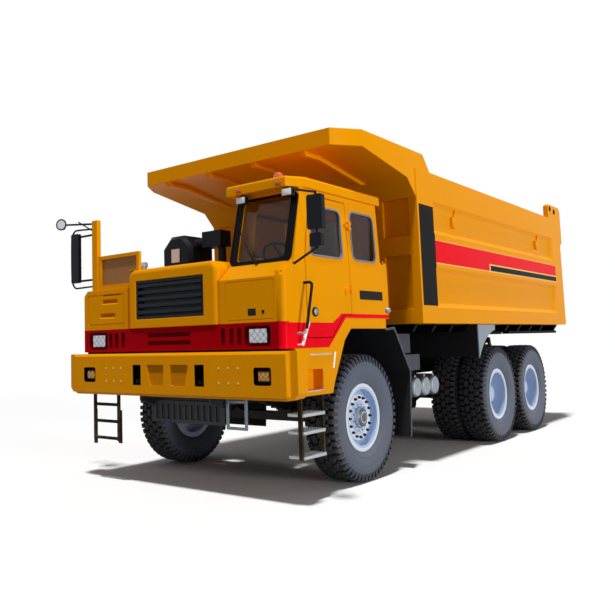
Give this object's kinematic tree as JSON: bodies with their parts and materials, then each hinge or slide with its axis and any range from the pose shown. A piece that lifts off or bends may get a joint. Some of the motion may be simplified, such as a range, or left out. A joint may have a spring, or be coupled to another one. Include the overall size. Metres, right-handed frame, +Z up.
{
  "type": "mining dump truck",
  "caption": "Three-axle mining dump truck with an offset half-width cab, engine hood, twin rear tyres and a canopied tipping body on telescopic rams.",
  "frame": {"origin": "on the ground under the middle of the bounding box", "axes": "+X forward, +Y to the driver's left, +Z up"},
  "size_m": [8.74, 3.8798, 3.85],
  "materials": {
    "yellow": "gloss",
    "red": "gloss",
    "black_paint": "satin",
    "grey_metal": "satin",
    "rim_silver": "satin",
    "tyre": "matt",
    "rubber": "matt",
    "glass": "gloss",
    "lamp_glass": "gloss",
    "grille_dark": "satin",
    "seat_trim": "matt",
    "dark_plastic": "matt",
    "ram_chrome": "polished"
  },
  "bodies": {
    "chassis": {"frame": "black_paint", "front_bumper": "yellow", "radiator_guard": "grey_metal", "hood": "yellow", "grille": "grille_dark", "nose_band": "red", "cab_left": "yellow", "cab_front": "yellow", "cab_right": "yellow", "cab_rear": "yellow", "cab_floor": "grey_metal", "cab_roof": "yellow", "cab_glass": "glass", "driver_seat": "seat_trim", "cab_controls": "dark_plastic", "fenders": "yellow", "right_deck": "yellow", "deck_guard": "yellow", "access_ladders": "black_paint", "mudguards": "rubber", "lamps": "lamp_glass", "front_axle": "black_paint", "springs": "grey_metal", "drive_axles": "black_paint", "powertrain": "grey_metal", "engine": "grey_metal", "tanks": "grey_metal", "air_cleaner": "dark_plastic", "mirrors": "dark_plastic", "handrails": "black_paint", "tail_bar": "black_paint"},
    "door": {"cab_door": "yellow", "door_glass": "glass"},
    "dump_body": {"bed_floor": "yellow", "bed_sides": "yellow", "bed_front_wall": "yellow", "bed_canopy": "yellow", "bed_underframe": "black_paint"},
    "tailgate": {"tailgate": "yellow"},
    "hoist_barrels": {"hoist_barrels": "black_paint"},
    "hoist_stage_1": {"hoist_stage_1": "ram_chrome"},
    "hoist_stage_2": {"hoist_stage_2": "ram_chrome"},
    "hoist_rods": {"hoist_rods": "ram_chrome"},
    "knuckle_left": {"knuckle_left": "black_paint"},
    "knuckle_right": {"knuckle_right": "black_paint"},
    "track_rod": {"track_rod": "black_paint"},
    "front_left_wheel": {"front_left_tyre": "tyre", "front_left_rim": "rim_silver"},
    "front_right_wheel": {"front_right_tyre": "tyre", "front_right_rim": "rim_silver"},
    "mid_left_wheels": {"mid_left_tyres": "tyre", "mid_left_rims": "rim_silver"},
    "mid_right_wheels": {"mid_right_tyres": "tyre", "mid_right_rims": "rim_silver"},
    "rear_left_wheels": {"rear_left_tyres": "tyre", "rear_left_rims": "rim_silver"},
    "rear_right_wheels": {"rear_right_tyres": "tyre", "rear_right_rims": "rim_silver"}
  },
  "joints": [
    {"name": "bed_tilt", "type": "hinge", "parent": "chassis", "child": "dump_body", "pos_m": [-3.5, 0, 1.46], "axis": [0, -1, 0], "range_deg": [0, 45]},
    {"name": "tailgate_swing", "type": "hinge", "parent": "dump_body", "child": "tailgate", "pos_m": [-4, 0, 3.74], "axis": [0, 1, 0], "range_deg": [0, 70]},
    {"name": "hoist_pivot", "type": "hinge", "parent": "chassis", "child": "hoist_barrels", "pos_m": [-0.45, 0, 0.56], "axis": [0, -1, 0], "range_deg": [0, 21.72]},
    {"name": "hoist_slide_1", "type": "slide", "parent": "hoist_barrels", "child": "hoist_stage_1", "axis": [0.1072, 0, 0.9942], "range_m": [0, 0.782]},
    {"name": "hoist_slide_2", "type": "slide", "parent": "hoist_stage_1", "child": "hoist_stage_2", "axis": [0.1072, 0, 0.9942], "range_m": [0, 0.782]},
    {"name": "hoist_slide_3", "type": "slide", "parent": "hoist_stage_2", "child": "hoist_rods", "axis": [0.1072, 0, 0.9942], "range_m": [0, 0.782]},
    {"name": "door_swing", "type": "hinge", "parent": "chassis", "child": "door", "pos_m": [3.094, 1.512, 2.2], "axis": [0, 0, 1], "range_deg": [0, 75]},
    {"name": "steer_left", "type": "hinge", "parent": "chassis", "child": "knuckle_left", "pos_m": [2.76, 0.96, 0.685], "axis": [0, 0, 1], "range_deg": [-30, 30]},
    {"name": "steer_right", "type": "hinge", "parent": "chassis", "child": "knuckle_right", "pos_m": [2.76, -0.96, 0.685], "axis": [0, 0, 1], "range_deg": [-30, 30]},
    {"name": "track_rod_turn", "type": "hinge", "parent": "knuckle_left", "child": "track_rod", "pos_m": [2.48, 0.96, 0.58], "axis": [0, 0, 1], "range_deg": [-30, 30]},
    {"name": "front_left_spin", "type": "hinge", "parent": "knuckle_left", "child": "front_left_wheel", "pos_m": [2.76, 1.2545, 0.685], "axis": [0, 1, 0], "continuous": true},
    {"name": "front_right_spin", "type": "hinge", "parent": "knuckle_right", "child": "front_right_wheel", "pos_m": [2.76, -1.2545, 0.685], "axis": [0, 1, 0], "continuous": true},
    {"name": "mid_left_spin", "type": "hinge", "parent": "chassis", "child": "mid_left_wheels", "pos_m": [-0.94, 1.18, 0.685], "axis": [0, 1, 0], "continuous": true},
    {"name": "mid_right_spin", "type": "hinge", "parent": "chassis", "child": "mid_right_wheels", "pos_m": [-0.94, -1.18, 0.685], "axis": [0, 1, 0], "continuous": true},
    {"name": "rear_left_spin", "type": "hinge", "parent": "chassis", "child": "rear_left_wheels", "pos_m": [-2.44, 1.18, 0.685], "axis": [0, 1, 0], "continuous": true},
    {"name": "rear_right_spin", "type": "hinge", "parent": "chassis", "child": "rear_right_wheels", "pos_m": [-2.44, -1.18, 0.685], "axis": [0, 1, 0], "continuous": true}
  ],
  "couplings": [
    {"joint": "hoist_pivot", "follows": "bed_tilt", "ratio": 0.4825},
    {"joint": "hoist_slide_1", "follows": "bed_tilt", "m_per_rad": 0.99563},
    {"joint": "hoist_slide_2", "follows": "bed_tilt", "m_per_rad": 0.99563},
    {"joint": "hoist_slide_3", "follows": "bed_tilt", "m_per_rad": 0.99563},
    {"joint": "steer_right", "follows": "steer_left", "ratio": 1},
    {"joint": "track_rod_turn", "follows": "steer_left", "ratio": -1}
  ]
}
